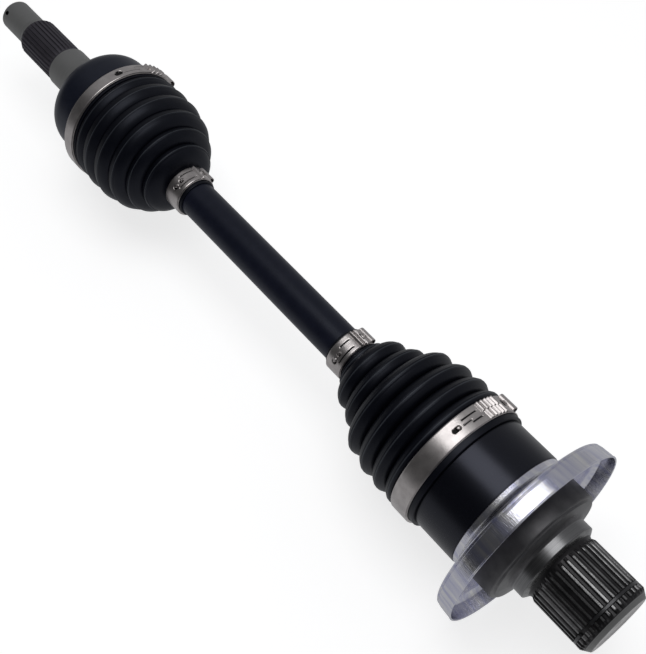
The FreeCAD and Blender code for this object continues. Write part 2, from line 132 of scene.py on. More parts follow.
def bend_points(a, corner, b, r, steps):
    """Points of a fillet of radius r at a corner between a and b."""
    c = Vector((corner[0], corner[1]))
    pa = Vector((a[0], a[1])) - c
    pb = Vector((b[0], b[1])) - c
    da, db = pa.normalized(), pb.normalized()
    angle = da.angle(db)
    is_straight = angle > math.pi - 1e-3
    if is_straight:
        return [corner]
    reach = min(r / math.tan(angle / 2), pa.length * FILLET_SHARE, pb.length * FILLET_SHARE)
    p0 = c + da * reach
    p2 = c + db * reach
    out = []
    for i in range(steps + 1):
        u = i / steps
        p = p0 * (1 - u) ** 2 + c * 2 * u * (1 - u) + p2 * u ** 2
        out.append((p.x, p.y))
    return out


def rounded(points, default, steps):
    """Rounds the corners of an open outline. A point may carry its own radius as a third value."""
    out = []
    for i, p in enumerate(points):
        r = p[2] if len(p) > 2 else default
        if i in (0, len(points) - 1) or r <= 0:
            out.append((p[0], p[1]))
        else:
            out += bend_points(points[i - 1], (p[0], p[1]), points[i + 1], r, steps)
    return out


def arc_points(cx, cr, r, low, high, steps):
    """Points of an arc about (cx, cr) from low to high degrees."""
    out = []
    for i in range(steps + 1):
        t = math.radians(low + (high - low) * i / steps)
        out.append((cx + r * math.cos(t), cr + r * math.sin(t)))
    return out


def subdivided(points, step):
    """The same outline with no stretch along X longer than step."""
    out = [points[0]]
    for a, b in zip(points[:-1], points[1:]):
        n = max(1, math.ceil(abs(b[0] - a[0]) / step))
        for i in range(1, n + 1):
            u = i / n
            out.append((a[0] + (b[0] - a[0]) * u, a[1] + (b[1] - a[1]) * u))
    return out


def smooth(u):
    """A soft step from 0 at u = 0 to 1 at u = 1."""
    u = max(0.0, min(1.0, u))
    return u * u * (3 - 2 * u)


def tooth(t, count, tip_share=0.42, flank=0.12):
    """0 in a gap and 1 on a tooth, of count teeth round the turn."""
    u = (t / TURN * count) % 1.0
    if u < tip_share:
        return 1.0
    if u < tip_share + flank:
        return 1.0 - (u - tip_share) / flank
    if u < 1.0 - flank:
        return 0.0
    return 1.0 - (1.0 - u) / flank


# ------------------------------------------------------------------ materials
def new_material(name):
    mat = bpy.data.materials.new(name)
    mat.use_nodes = True
    return mat, mat.node_tree.nodes["Principled BSDF"]


def noise_material(name, colours, colour_ends, stretch, shade, grain, rough, bump):
    """A material whose colour drifts with one noise, and whose roughness and fine bump follow another.

    colour_ends: the noise values where the two colours are reached.
    stretch: scale of the noise along X, Y and Z. shade and grain: (scale, detail) of the two noises.
    rough: (middle, spread). bump: (strength, height in m).
    """
    mat, bsdf = new_material(name)
    nodes = mat.node_tree.nodes
    links = mat.node_tree.links
    coord = nodes.new("ShaderNodeTexCoord")
    mapping = nodes.new("ShaderNodeMapping")
    mapping.inputs["Scale"].default_value = stretch
    links.new(coord.outputs["Object"], mapping.inputs["Vector"])

    def noise(scale, detail):
        node = nodes.new("ShaderNodeTexNoise")
        node.inputs["Scale"].default_value = scale
        node.inputs["Detail"].default_value = detail
        links.new(mapping.outputs["Vector"], node.inputs["Vector"])
        return node.outputs["Fac"]

    ramp = nodes.new("ShaderNodeValToRGB")
    for element, position, colour in zip(ramp.color_ramp.elements, colour_ends, colours):
        element.position = position
        element.color = (*colour, 1)
    drift = noise(*shade)
    links.new(drift, ramp.inputs["Fac"])
    links.new(ramp.outputs["Color"], bsdf.inputs["Base Color"])
    fine = drift if grain == shade else noise(*grain)
    spread = nodes.new("ShaderNodeMapRange")
    spread.inputs["To Min"].default_value = rough[0] - rough[1]
    spread.inputs["To Max"].default_value = rough[0] + rough[1]
    links.new(fine, spread.inputs["Value"])
    links.new(spread.outputs["Result"], bsdf.inputs["Roughness"])
    lift = nodes.new("ShaderNodeBump")
    lift.inputs["Strength"].default_value = bump[0]
    lift.inputs["Distance"].default_value = bump[1]
    links.new(fine, lift.inputs["Height"])
    links.new(lift.outputs["Normal"], bsdf.inputs["Normal"])
    return mat, bsdf


def surface(name, base, vary, metallic, rough, rough_vary, bump, scale, specular=0.5,
            stretch=(1.0, 1.0, 1.0), tint=(1.0, 1.0, 1.0)):
    """Base colour and roughness that drift with noise, and a fine bump."""
    mat, bsdf = noise_material(name, (base, vary), (0.3, 0.7), stretch, (scale * 0.12, 4.0), (scale, 3.0),
                               (rough, rough_vary), (bump, 0.0002))
    bsdf.inputs["Metallic"].default_value = metallic
    bsdf.inputs["Specular IOR Level"].default_value = specular
    bsdf.inputs["Specular Tint"].default_value = (*tint, 1)
    return mat


def turned_steel(name, base, vary, rough, line_scale, line_bump, metallic=1.0):
    """Metal with fine lathe lines across the axle's length."""
    lines = (1.0, 5.0)
    mat, bsdf = noise_material(name, (base, vary), (0.35, 0.65), (line_scale, 6.0, 6.0), lines, lines,
                               (rough, 0.06), (line_bump, 0.0001))
    bsdf.inputs["Metallic"].default_value = metallic
    return mat


PAINT = surface("black_paint", (0.0021, 0.0024, 0.0044), (0.0028, 0.0031, 0.0056), 0.0,
                0.27, 0.010, 0.004, 2500, specular=0.42, tint=(0.78, 0.81, 1.0))
BELL_PAINT = surface("bell_paint", (0.0066, 0.0082, 0.0165), (0.0090, 0.0108, 0.0210), 0.0,
                     0.34, 0.03, 0.01, 2500, specular=0.40, tint=(0.80, 0.85, 1.0))
BAR_PAINT = surface("bar_paint", (0.0072, 0.0086, 0.0178), (0.0102, 0.0118, 0.0232), 0.0,
                    0.34, 0.04, 0.03, 1500, specular=0.26, tint=(0.82, 0.87, 1.0))
RUBBER = surface("boot_rubber", (0.0018, 0.0022, 0.0046), (0.0032, 0.0037, 0.0070), 0.0,
                 0.39, 0.05, 0.05, 1400, specular=0.25, tint=(0.78, 0.83, 1.0))
# paler rubber along each bell's crest: a painted highlight
CREST_PAINTED_HIGHLIGHT = surface("boot_crest_painted_highlight", (0.018, 0.021, 0.027), (0.036, 0.040, 0.050), 0.0,
                0.42, 0.05, 0.05, 700, specular=0.30, tint=(0.86, 0.91, 1.0))
BARE = turned_steel("stub_bare_steel", (0.165, 0.166, 0.166), (0.225, 0.226, 0.225), 0.60, 3000, 0.15,
                    metallic=0.30)
STUB_SPLINE = turned_steel("stub_spline_steel", (0.052, 0.048, 0.060), (0.092, 0.086, 0.104), 0.50, 900, 0.1,
                           metallic=0.6)
BRIGHT = turned_steel("journal_steel", (0.16, 0.16, 0.165), (0.28, 0.28, 0.285), 0.30, 5000, 0.2)
BARE_END = turned_steel("stub_end_steel", (0.40, 0.395, 0.395), (0.55, 0.54, 0.54), 0.50, 900, 0.1,
                        metallic=0.2)
# dark phosphate on the inboard stub's spline; inside the cotter hole the same material is painted shade
PHOSPHATE_AND_HOLE_SHADE = surface("dark_phosphate_and_hole_shade", (0.016, 0.0155, 0.017), (0.030, 0.029, 0.031), 0.6,
                    0.32, 0.06, 0.2, 1600)
# lighter on the tips of the inboard spline's teeth than on their dark flanks
TOOTH_TIP = surface("pale_tooth_tip", (0.14, 0.14, 0.142), (0.26, 0.26, 0.262), 0.9, 0.26, 0.06, 0.2, 1600)
CUP_END = surface("cup_end_steel", (0.082, 0.081, 0.086), (0.128, 0.126, 0.132), 0.55, 0.38, 0.05, 0.06, 1200)
CLAMP = surface("clamp_stainless", (0.46, 0.43, 0.425), (0.62, 0.585, 0.575), 0.95, 0.30, 0.06, 0.12, 1400)
# near-black for the clamps' windows, the deep middle of their grooves and the opening by the hook: painted
# shade
CLAMP_PAINTED_SHADE = surface("clamp_slot_shadow", (0.004, 0.004, 0.005), (0.008, 0.008, 0.008), 0.0,
                    0.6, 0.05, 0.05, 900, specular=0.2)
ZINC = surface("shield_zinc_plate", (0.55, 0.56, 0.74), (0.88, 0.87, 0.88), 1.0, 0.17, 0.12, 0.32, 2200,
               stretch=(0.08, 1.0, 1.0))
RING = surface("ring_spring_steel", (0.045, 0.045, 0.048), (0.075, 0.075, 0.078), 0.8, 0.30, 0.05, 0.05, 900)
RACE = surface("race_ground_steel", (0.42, 0.41, 0.40), (0.50, 0.49, 0.48), 1.0, 0.28, 0.05, 0.05, 900)
CAGE = surface("cage_steel", (0.26, 0.25, 0.25), (0.34, 0.33, 0.32), 1.0, 0.36, 0.05, 0.05, 900)
BALL = surface("ball_polished", (0.72, 0.72, 0.73), (0.76, 0.76, 0.77), 1.0, 0.10, 0.02, 0.0, 500)


def dress(obj, material, slot):
    """One material for the whole piece. The slot name is not used."""
    obj.data.materials.clear()
    obj.data.materials.append(material)


def face_materials(obj, rules):
    """rules is a list of (material, test(x_mm, r_mm)); the last one that matches wins."""
    obj.data.materials.clear()
    for material, _ in rules:
        obj.data.materials.append(material)
    for poly in obj.data.polygons:
        x = poly.center.x / MM
        r = math.hypot(poly.center.y, poly.center.z) / MM
        for i, (_, test) in enumerate(rules):
            if test(x, r):
                poly.material_index = i


# ------------------------------------------------------------------ sizes read from the CAD frame, in mm
def box_mm(node):
    """Lowest and highest corner of a CAD node."""
    lo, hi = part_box(node)
    return [v / MM for v in lo], [v / MM for v in hi]


bell_lo, bell_hi = box_mm("outboard_bell")
cup_lo, cup_hi = box_mm("inboard_cup")
shield_lo, shield_hi = box_mm("dust_shield")
bar_lo, bar_hi = box_mm("axle_bar")
oboot_lo, oboot_hi = box_mm("outboard_boot")
iboot_lo, iboot_hi = box_mm("inboard_boot")
snap_lo, snap_hi = box_mm("stub_snap_ring")
joints = {j["name"]: j for j in frame["joints"]}
OUT_C = joints["outboard_bend"]["pos_m"][0] / MM
IN_C = joints["inboard_bend"]["pos_m"][0] / MM
BALL_PITCH = 25.0           # from a joint's centre to each ball's centre
GROOVE = 8.75               # radius of the ball grooves
BALLS = 6
WALL = 2.0                  # thickness of the boots' rubber
SMALL_CUFF = 13.1           # outer radius of the boots' small cuffs
STUB_TEETH = 30             # spline of the outboard stub
CUP_TEETH = 36              # spline of the inboard stub
BAR_TEETH = 24              # splines under the inner races
COTTER_R = 1.6              # cross hole through the outboard tip
COTTER_TURN = 132.0         # its direction about the axle, degrees from +Y
BAND_T = 0.8                # thickness of the clamps' steel band
TAIL_END = 262.0            # angle where each clamp's tail ends, behind the axle


def groove_reach(t, offset, groove_r):
    """How far from the axis a round groove at each ball's direction reaches, or 0."""
    best = 0.0
    for i in range(BALLS):
        d = t - math.radians(90.0 + i * 360.0 / BALLS)
        d = (d + math.pi) % TURN - math.pi
        side = offset * math.sin(d)
        if abs(d) < math.pi / 2 and abs(side) < groove_r:
            best = max(best, offset * math.cos(d) + math.sqrt(groove_r ** 2 - side ** 2))
    return best


def bore_across(obj, x, r, degrees, reach):
    """Cuts a round hole through obj, square to the X axis."""
    t = math.radians(degrees)
    along = Vector((0.0, math.cos(t), math.sin(t)))
    side = Vector((0.0, -math.sin(t), math.cos(t)))
    verts = []
    sides = 32
    for end in (-reach, reach):
        for k in range(sides):
            a = TURN * k / sides
            point = Vector((x + r * math.cos(a), 0, 0)) * MM + side * (r * math.sin(a) * MM)
            verts.append(tuple(point + along * (end * MM)))
    faces = [(k, sides + k, sides + (k + 1) % sides, (k + 1) % sides) for k in range(sides)]
    faces += [tuple(range(sides)), tuple(range(sides, 2 * sides))[::-1]]
    mesh = bpy.data.meshes.new("bore")
    mesh.from_pydata(verts, [], faces)
    cutter = linked("bore", mesh)
    cut = obj.modifiers.new("bore", "BOOLEAN")
    cut.operation = "DIFFERENCE"
    cut.solver = "EXACT"
    cut.object = cutter
    graph = bpy.context.evaluated_depsgraph_get()
    result = bpy.data.meshes.new_from_object(obj.evaluated_get(graph))
    obj.modifiers.clear()
    obj.data = result
    bpy.data.objects.remove(cutter)


# ------------------------------------------------------------------ outboard bell and stub
def make_bell():
    """Tip, spline, bearing seat and rounded bell outside, and a round socket with ball grooves inside."""
    end = bell_lo[0]
    mouth = bell_hi[0]
    body_r = bell_hi[1]
    back = OUT_C - 24.7
    tip_r = 11.1
    spline_r = 13.4
    spline0 = end + 31.95
    spline1 = end + 71.25
    seat_r = 15.0
    shoulder_r = 16.3
    cuff = OUT_C + 5.9
    socket_r = 29.0
    groove_turn = math.radians(20)
    socket_x0 = OUT_C - 19.0
    socket_x1 = OUT_C + 12.8
    outer = [(end, 0.0), (end, 9.4, 0.4), (end + 1.6, tip_r, 0.5), (end + 26.55, tip_r, 1.2),
             (spline0 - 0.4, spline_r, 0.4), (spline0 + 1.4, spline_r, 0.0)]
    spline_rings = 12
    for i in range(spline_rings + 1):
        outer.append((spline0 + 1.6 + (spline1 - spline0 - 4.6) * i / spline_rings, spline_r, 0.0))
    outer += [(spline1 - 1.8, spline_r, 0.0), (spline1 - 0.3, 13.5, 0.5), (spline1 + 0.5, seat_r, 0.4),
              (spline1 + 17.0, seat_r, 6.0), (back - 4.4, 17.2, 5.0), (back - 1.2, 18.8, 1.2),
              (back, 20.7, 0.0)]
    outer = rounded(outer, 0.3, 5)
    outer += arc_points(back + shoulder_r, body_r - shoulder_r, shoulder_r, 178, 90, 18)
    outer += rounded([(back + shoulder_r + 0.2, body_r), (cuff, body_r, 0.4), (cuff, body_r - 1.0, 0.2),
                      (mouth - 0.6, body_r - 1.0, 0.4), (mouth, body_r - 1.6, 0.3), (mouth, 33.2, 0.3),
                      (socket_x1, 26.02)], 0.3, 3)
    socket = []
    socket_rings = 21
    for i in range(1, socket_rings + 1):
        x = socket_x1 - (socket_x1 - socket_x0) * i / socket_rings
        socket.append((x, math.sqrt(socket_r ** 2 - (x - OUT_C) ** 2)))
    first_socket = len(outer) - 1

    def radius(x, r, t, index):
        if index < first_socket:
            if spline0 - 1.0 < x < spline1 and r < 14:
                rise = smooth((x - spline0 + 0.6) / 2.4) * smooth((spline1 - 0.8 - x) / 3.0)
                return r + 0.9 * rise * tooth(t, STUB_TEETH)
            return r
        dx = x - OUT_C
        # the grooves follow the balls' circle, and end round at groove_turn behind the joint's centre
        low = -BALL_PITCH * math.sin(groove_turn)
        if dx < low:
            g2 = GROOVE ** 2 - (dx - low) ** 2
            if g2 <= 0:
                return r
            return max(r, groove_reach(t, BALL_PITCH * math.cos(groove_turn), math.sqrt(g2)))
        middle = math.sqrt(BALL_PITCH ** 2 - dx ** 2)
        # away from the joint's centre a section cuts the groove at a slant, so it is wider there
        return max(r, groove_reach(t, middle, GROOVE * 0.995 * BALL_PITCH / middle))

    bell = lathe("outboard_bell_forging", outer + socket + [(socket_x0, 0.0)], 360, radius, 30)
    bore_x = end + 4.75
    bore_across(bell, bore_x, COTTER_R, COTTER_TURN, 14.0)
    face_materials(bell, [
        (BELL_PAINT, lambda x, r: True),
        (BARE, lambda x, r: x < back - 0.4 and r < 19.5),
        (STUB_SPLINE, lambda x, r: spline0 - 2.2 < x < spline1 - 0.6 and r < 14.6),
        # the inside of the cotter hole gets the dark material as painted shade
        (PHOSPHATE_AND_HOLE_SHADE, lambda x, r: abs(x - bore_x) < COTTER_R + 0.02 and r < tip_r - 0.4),
    ])
    return bell


bell = make_bell()
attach(bell, "outboard_joint_bell")
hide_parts("outboard_bell")


# ------------------------------------------------------------------ inboard cup and stub
def make_cup():
    """Boot seat, shield seat, hub, journal and spline outside, and a straight grooved bore inside."""
    mouth = cup_lo[0]
    end = cup_hi[0]
    cup_r = cup_hi[1]
    boot_r = cup_r - 0.6
    boot_end = iboot_hi[0] + 0.1
    seat = shield_lo[0] - 0.1
    seat_r = 36.9
    hub = seat + 26.9
    journal0 = hub + 4.1
    journal1 = journal0 + 6.7
    journal_r = 25.3
    spline0 = snap_lo[0] - 28.6
    spline_r = 21.2
    groove0 = snap_lo[0] - 0.2
    groove1 = groove0 + 2.2
    groove_r = 20.6
    outer = rounded([(mouth, 30.0), (mouth, cup_r - 1.2, 0.4), (mouth + 0.7, boot_r, 0.3),
                     (boot_end, boot_r, 0.2), (boot_end, cup_r, 0.4), (seat, cup_r, 0.4),
                     (seat, seat_r, 0.2), (hub, seat_r, 1.6), (hub + 0.25, 35.2, 0.35),
                     (hub + 1.3, 34.9, 0.5), (hub + 2.6, 27.6, 1.2), (hub + 3.4, 26.0, 0.8),
                     (journal0 + 0.2, journal_r, 0.5), (journal1 - 0.3, journal_r, 0.5),
                     (journal1 + 0.5, 24.0, 0.6), (journal1 + 1.6, 21.9, 1.4),
                     (spline0 - 0.8, spline_r, 0.3)], 0.3, 5)
    spline_rings = 14
    for i in range(spline_rings + 1):
        outer.append((spline0 - 0.6 + (groove0 - spline0 + 0.55) * i / spline_rings, spline_r))
    outer += [(groove0, spline_r - 0.05), (groove0 + 0.02, groove_r), (groove1 - 0.02, groove_r),
              (groove1, spline_r - 0.05)]
    for i in range(6):
        outer.append((groove1 + 0.05 + 4.2 * i / 5, spline_r))
    outer += rounded([(groove1 + 4.3, spline_r), (end - 2.6, 20.9, 0.4), (end - 0.3, 19.3, 0.5),
                      (end, 18.6, 0.4), (end, 15.4, 0.3), (end - 0.7, 14.4, 0.3), (end - 0.7, 3.2, 0.2),
                      (end - 3.0, 0.0)], 0.4, 4)
    bore_r = 29.0
    bottom = IN_C + 33.0
    dome = bottom - 5.0
    straight = bottom - 14.0
    groove_end = bottom - 9.0
    ring0 = mouth + 2.05
    ring1 = ring0 + 1.7
    ring_seat_r = 30.15
    cavity = [(bottom, 0.0), (bottom, 10.0), (bottom, 19.5), (bottom - 1.6, 22.4), (bottom - 3.3, 25.6),
              (dome, bore_r)]
    for i in range(1, 8):
        cavity.append((dome - 9.0 * i / 7, bore_r))
    for i in range(1, 7):
        cavity.append((straight + (ring1 - straight) * i / 6, bore_r))
    cavity += [(ring1 - 0.02, ring_seat_r), (ring0, ring_seat_r), (ring0 - 0.02, bore_r),
               (mouth + 0.9, bore_r)]

    def radius(x, r, t, index):
        if index >= len(cavity):
            if spline0 - 1.5 < x < groove1 + 5.2 and spline_r - 0.2 < r < spline_r + 0.2:
                rise = smooth((x - spline0 + 0.7) / 1.8) * smooth((groove1 + 4.3 - x) / 1.6)
                return r + 1.1 * rise * tooth(t, CUP_TEETH, 0.30, 0.13)
            return r
        if x > groove_end:
            g2 = GROOVE ** 2 - (x - groove_end) ** 2
            return max(r, groove_reach(t, BALL_PITCH, math.sqrt(g2))) if g2 > 0 else r
        return max(r, groove_reach(t, BALL_PITCH, GROOVE))

    # from the axis inside the cup, out over the mouth, to the axis at the stub's end
    cup = lathe("inboard_cup_forging", cavity + outer, 432, radius, 30)
    face_materials(cup, [
        (PAINT, lambda x, r: True),
        (CUP_END, lambda x, r: x > seat + 4.0 and r > 30.4 or x > hub - 1.0),
        (BRIGHT, lambda x, r: journal0 - 0.4 < x < journal1 - 0.2 and abs(r - journal_r + 0.1) < 0.4),
        (PHOSPHATE_AND_HOLE_SHADE, lambda x, r: x > journal1 - 0.2),
        (TOOTH_TIP, lambda x, r: x > journal1 and r > 22.12),
        (BARE, lambda x, r: x > end - 2.3 and r < 20.9),
        (BARE_END, lambda x, r: x > end - 3.1 and r < 18.8),
    ])
    return cup


cup = make_cup()
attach(cup, "inboard_joint_cup")
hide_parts("inboard_cup")


# ------------------------------------------------------------------ dust shield
def make_shield():
    """A short sleeve on the cup that turns out into a flared dish with a beaded rim."""
    x0 = shield_lo[0]
    x1 = shield_hi[0]
    rim = shield_hi[1]
    t = 1.1
    inner_r = 36.95
    outer_r = inner_r + t
    outside = [(x0 + 2.0, inner_r), (x0 + 0.1, inner_r, 0.15), (x0, inner_r + 0.15, 0.1),
               (x0, outer_r - 0.1, 0.15), (x0 + 0.2, outer_r, 0.15), (x0 + 3.4, outer_r + 0.5, 3.0),
               (x0 + 6.2, outer_r + 3.1, 4.0), (x0 + 9.2, 55.6, 3.0), (x0 + 9.9, 57.9, 0.5),
               (x0 + 10.7, 58.8, 0.4), (x0 + 11.2, 58.2, 0.3), (x0 + 11.9, 58.9, 0.5),
               (x0 + 13.4, 59.2, 3.0), (x1 - 1.0, rim - 0.3, 1.0), (x1 - 0.4, rim, 0.3)]
    inside = [(x1, rim - 0.3, 0.3), (x1, rim - t, 0.3), (x0 + 13.2, 59.2 - t, 2.0),
              (x0 + 12.2, 58.6 - t, 0.6), (x0 + 11.4, 57.9 - t, 0.5), (x0 + 10.8, 57.2 - t, 0.6),
              (x0 + 10.2, 54.9, 2.0), (x0 + 7.3, outer_r + 2.6, 4.0), (x0 + 4.4, inner_r, 2.0),
              (x0 + 2.0, inner_r)]
    return lathe("dust_shield_pressing", rounded(outside + inside, 0.3, 7)[:-1], 256, None, 40)


shield = make_shield()
dress(shield, ZINC, "shield_zinc")
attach(shield, "inboard_joint_cup")
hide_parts("dust_shield")


# ------------------------------------------------------------------ axle bar
def make_bar():
    """A plain bar with a spline at each end, and two ring grooves in each spline."""
    a = bar_lo[0]
    b = bar_hi[0]
    r = bar_hi[1]
    spline_r = 11.0
    ring_groove_r = 10.6
    spline_rings = [23.0 * i / 8 for i in range(9)]
    outline = [(a, 0.0), (a, 10.4, 0.3), (a + 1.5, 11.3, 0.3)]
    outline += [(a + 2.0 + d, spline_r, 0.0) for d in spline_rings]
    outline += [(a + 26.5, spline_r, 0.4), (a + 27.6, r, 0.4)]
    outline += [(OUT_C + 89.0, r, 0.0), (iboot_lo[0] + 9.5, r, 0.0)]
    outline += [(b - 27.6, r, 0.4), (b - 26.5, spline_r, 0.4)]
    outline += [(b - 25.0 + d, spline_r, 0.0) for d in spline_rings]
    outline += [(b - 1.5, 11.3, 0.3), (b, 10.4, 0.3), (b, 0.0)]
    ring_x = [centre + side for centre in (OUT_C, IN_C) for side in (-11.2, 9.6)]

    def radius(x, r, t, index):
        if abs(r - spline_r) < 0.1:
            in_ring_groove = any(g - 0.2 < x < g + 1.8 for g in ring_x)
            return ring_groove_r if in_ring_groove else r + 0.88 * tooth(t, BAR_TEETH, 0.38, 0.12)
        return r

    return lathe("axle_bar_forging", subdivided(rounded(outline, 0.3, 4), 6.0), 288, radius, 30)


bar = make_bar()
dress(bar, BAR_PAINT, "bar_black")
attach(bar, "shaft")
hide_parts("axle_bar")


# ------------------------------------------------------------------ boots
def bellows_outline(valleys, peaks, wall, crest, powers):
    """Outer line of rounded bells between valleys, with a fine raised line on each crest.

    powers are how square the flank before and the flank after each crest are.
    """
    steps = 30
    crest_reach = 1.2
    crest_steps = [0.18 * j for j in range(-6, 7)]
    points = []
    for i, (px, pr) in enumerate(peaks):
        a = valleys[i]
        b = valleys[i + 1]
        line = [(px + d, pr - 0.02 * abs(d) + crest * math.exp(-(d / 0.36) ** 2)) for d in crest_steps]
        last = steps if i == len(peaks) - 1 else steps - 1
        for k in range(last + 1):
            # points crowd together at the two valleys, where the line is steep
            u = 0.5 - 0.5 * math.cos(math.pi * k / steps)
            x = a[0] + (b[0] - a[0]) * u
            if x <= px:
                s, low, power = (px - x) / (px - a[0]), a[1], powers[0]
            else:
                s, low, power = (x - px) / (b[0] - px), b[1], powers[1]
            s = min(s, 1.0)
            shape = 0.88 * max(1 - s ** power, 0.0) ** (1 / power) + 0.12 * (1 - s)
            if abs(x - px) > crest_reach or not crest:
                points.append((x, low + (pr - low) * shape - wall))
            elif line:
                points += line
                line = []
    return points


def make_boot(valleys, peaks, cuff_a, cuff_b, crest, powers):
    """Outer and inner line of a boot from its first cuff to its second.

    A cuff is (end x, inner r, outer r).
    """
    a_x, a_in, a_out = cuff_a
    b_x, b_in, b_out = cuff_b
    x0, r0 = valleys[0]
    x1, r1 = valleys[-1]
    outer = rounded([(a_x, a_out - 1.2), (a_x, a_out, 0.5), (x0 - 0.8, a_out, 0.5), (x0, r0)], 0.5, 4)[:-1]
    outer += bellows_outline(valleys, peaks, 0.0, crest, powers)
    outer += rounded([(x1, r1), (x1 + 0.8, b_out, 0.5), (b_x, b_out, 0.5), (b_x, b_out - 1.2)], 0.5, 4)[1:]
    inner = rounded([(a_x, a_out - 1.2), (a_x, a_in, 0.4), (x0 - 0.5, a_in, 0.4),
                     (x0, max(r0 - WALL, a_in + 0.05))], 0.4, 3)[1:-1]
    for x, r in bellows_outline(valleys, peaks, WALL, 0.0, powers):
        cuff_r = a_in if abs(x - x0) < abs(x - x1) else min(b_in, a_in)
        inner.append((x, max(r, cuff_r + 0.08)))
    inner += rounded([(x1, max(r1 - WALL, b_in + 0.05)), (x1 + 0.5, b_in, 0.4), (b_x, b_in, 0.4),
                      (b_x, b_out - 1.2)], 0.4, 3)[1:-1]
    return outer, inner


# the bottoms and the crests of the bells: (x from the joint's centre, r) in mm
OUT_VALLEYS = [(18.9, 38.5), (27.1, 38.0), (39.2, 37.2), (52.1, 35.7), (64.2, 30.9), (72.8, 24.1),
               (82.6, 14.8)]
OUT_PEAKS = [(22.1, 40.9), (32.9, 41.4), (45.3, 40.9), (57.3, 38.0), (67.8, 32.2), (76.4, 25.4)]
IN_VALLEYS = [(-103.4, 14.2), (-99.2, 16.2), (-87.0, 20.4), (-75.4, 25.2), (-61.8, 31.4), (-49.2, 34.4),
              (-37.8, 35.8), (-30.8, 40.2)]
IN_PEAKS = [(-101.2, 16.6), (-92.6, 24.6), (-80.9, 29.3), (-68.4, 37.8), (-55.0, 40.7), (-43.2, 41.5),
            (-32.8, 41.4)]


def boot_object(name, outer, inner, peaks):
    """Rubber all over, with a paler line along the crest of each bell as a painted highlight."""
    def on_painted_highlight(x, r):
        return any(abs(x - px) < 0.42 and abs(r - pr) < 1.0 for px, pr in peaks)

    obj = lathe(name, outer + inner[::-1], 160, None, 60)
    face_materials(obj, [(RUBBER, lambda x, r: True), (CREST_PAINTED_HIGHLIGHT, on_painted_highlight)])
    return obj


def outboard_boot():
    valleys = [(OUT_C + x, r) for x, r in OUT_VALLEYS]
    peaks = [(OUT_C + x, r) for x, r in OUT_PEAKS]
    cuff_a = (oboot_lo[0], 36.05, 40.4)
    cuff_b = (oboot_hi[0], 12.05, SMALL_CUFF)
    outer, inner = make_boot(valleys, peaks, cuff_a, cuff_b, 0.30, (3.0, 1.8))
    obj = boot_object("outboard_boot_bellows", outer, inner, peaks)
    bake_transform(obj)
    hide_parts("outboard_boot")


def inboard_boot():
    """Two pieces that meet at a valley."""
    valleys = [(IN_C + x, r) for x, r in IN_VALLEYS]
    peaks = [(IN_C + x, r) for x, r in IN_PEAKS]
    cuff_a = (iboot_lo[0], 12.05, SMALL_CUFF)
    cuff_b = (iboot_hi[0], 37.85, 40.3)
    outer, inner = make_boot(valleys, peaks, cuff_a, cuff_b, 0.12, (2.2, 2.2))
    cut = IN_C - 49.2
    outer1, inner1 = [[p for p in line if p[0] <= cut + 1e-6] for line in (outer, inner)]
    outer2, inner2 = [[p for p in line if p[0] >= cut - 1e-6] for line in (outer, inner)]
    small = boot_object("inboard_boot_bellows_small", outer1, inner1, peaks)
    large = boot_object("inboard_boot_bellows_large", outer2, inner2, peaks)
    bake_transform(small)
    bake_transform(large)
    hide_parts("inboard_boot")
    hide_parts("inboard_boot")


outboard_boot()
inboard_boot()


# ------------------------------------------------------------------ boot clamps
def strip(name, path, x0, x1, thickness):
    """A steel band: path is a list of (angle, inner radius mm); it runs along X from x0 to x1.

    The path goes round from +Y towards +Z, and the thickness is added on its right-hand side.
    """
    bevel = min(0.22, thickness * 0.3)
    section = [(x0 + bevel, 0.0), (x0, bevel), (x0, thickness - bevel), (x0 + bevel, thickness),
               (x1 - bevel, thickness), (x1, thickness - bevel), (x1, bevel), (x1 - bevel, 0.0)]
    centre = [Vector((r * math.cos(a), r * math.sin(a))) for a, r in path]
    n = len(path)
    m = len(section)
    verts = []
    faces = []
    for i, c in enumerate(centre):
        run = (centre[min(i + 1, n - 1)] - centre[max(i - 1, 0)]).normalized()
        out = Vector((run.y, -run.x))
        for x, h in section:
            point = c + out * h
            verts.append((x * MM, point.x * MM, point.y * MM))
    for i in range(n - 1):
        for k in range(m):
            j = (k + 1) % m
            faces.append((i * m + k, i * m + j, (i + 1) * m + j, (i + 1) * m + k))
    faces.append(tuple(range(m)))
    faces.append(tuple(range((n - 1) * m, n * m))[::-1])
    return mesh_object(name, verts, faces, 40)


def rounded_box(name, x, angle, r0, length, width, height, bevel=0.25):
    """A small lug or recess on the band: length round the turn, width along X, height outwards from r0."""
    mesh = bpy.data.meshes.new(name)
    bm = bmesh.new()
    bmesh.ops.create_cube(bm, size=1.0)
    for v in bm.verts:
        v.co.x *= width
        v.co.y *= height
        v.co.z *= length
        v.co.y += height / 2
    bmesh.ops.bevel(bm, geom=list(bm.edges), offset=bevel, segments=3, affect="EDGES")
    ca = math.cos(angle)
    sa = math.sin(angle)
    for v in bm.verts:
        y = v.co.y + r0
        z = v.co.z
        v.co = Vector(((x + v.co.x) * MM, (y * ca - z * sa) * MM, (y * sa + z * ca) * MM))
    bm.to_mesh(mesh)
    bm.free()
    return smooth_object(name, mesh, 40)


def pad(along, across, half_long, half_wide, soft=0.22):
    """1 inside a long round-ended patch, 0 outside it."""
    end = max(abs(along) - (half_long - half_wide), 0.0)
    gap = math.hypot(end, across) - half_wide
    return smooth((soft - gap) / (2 * soft))


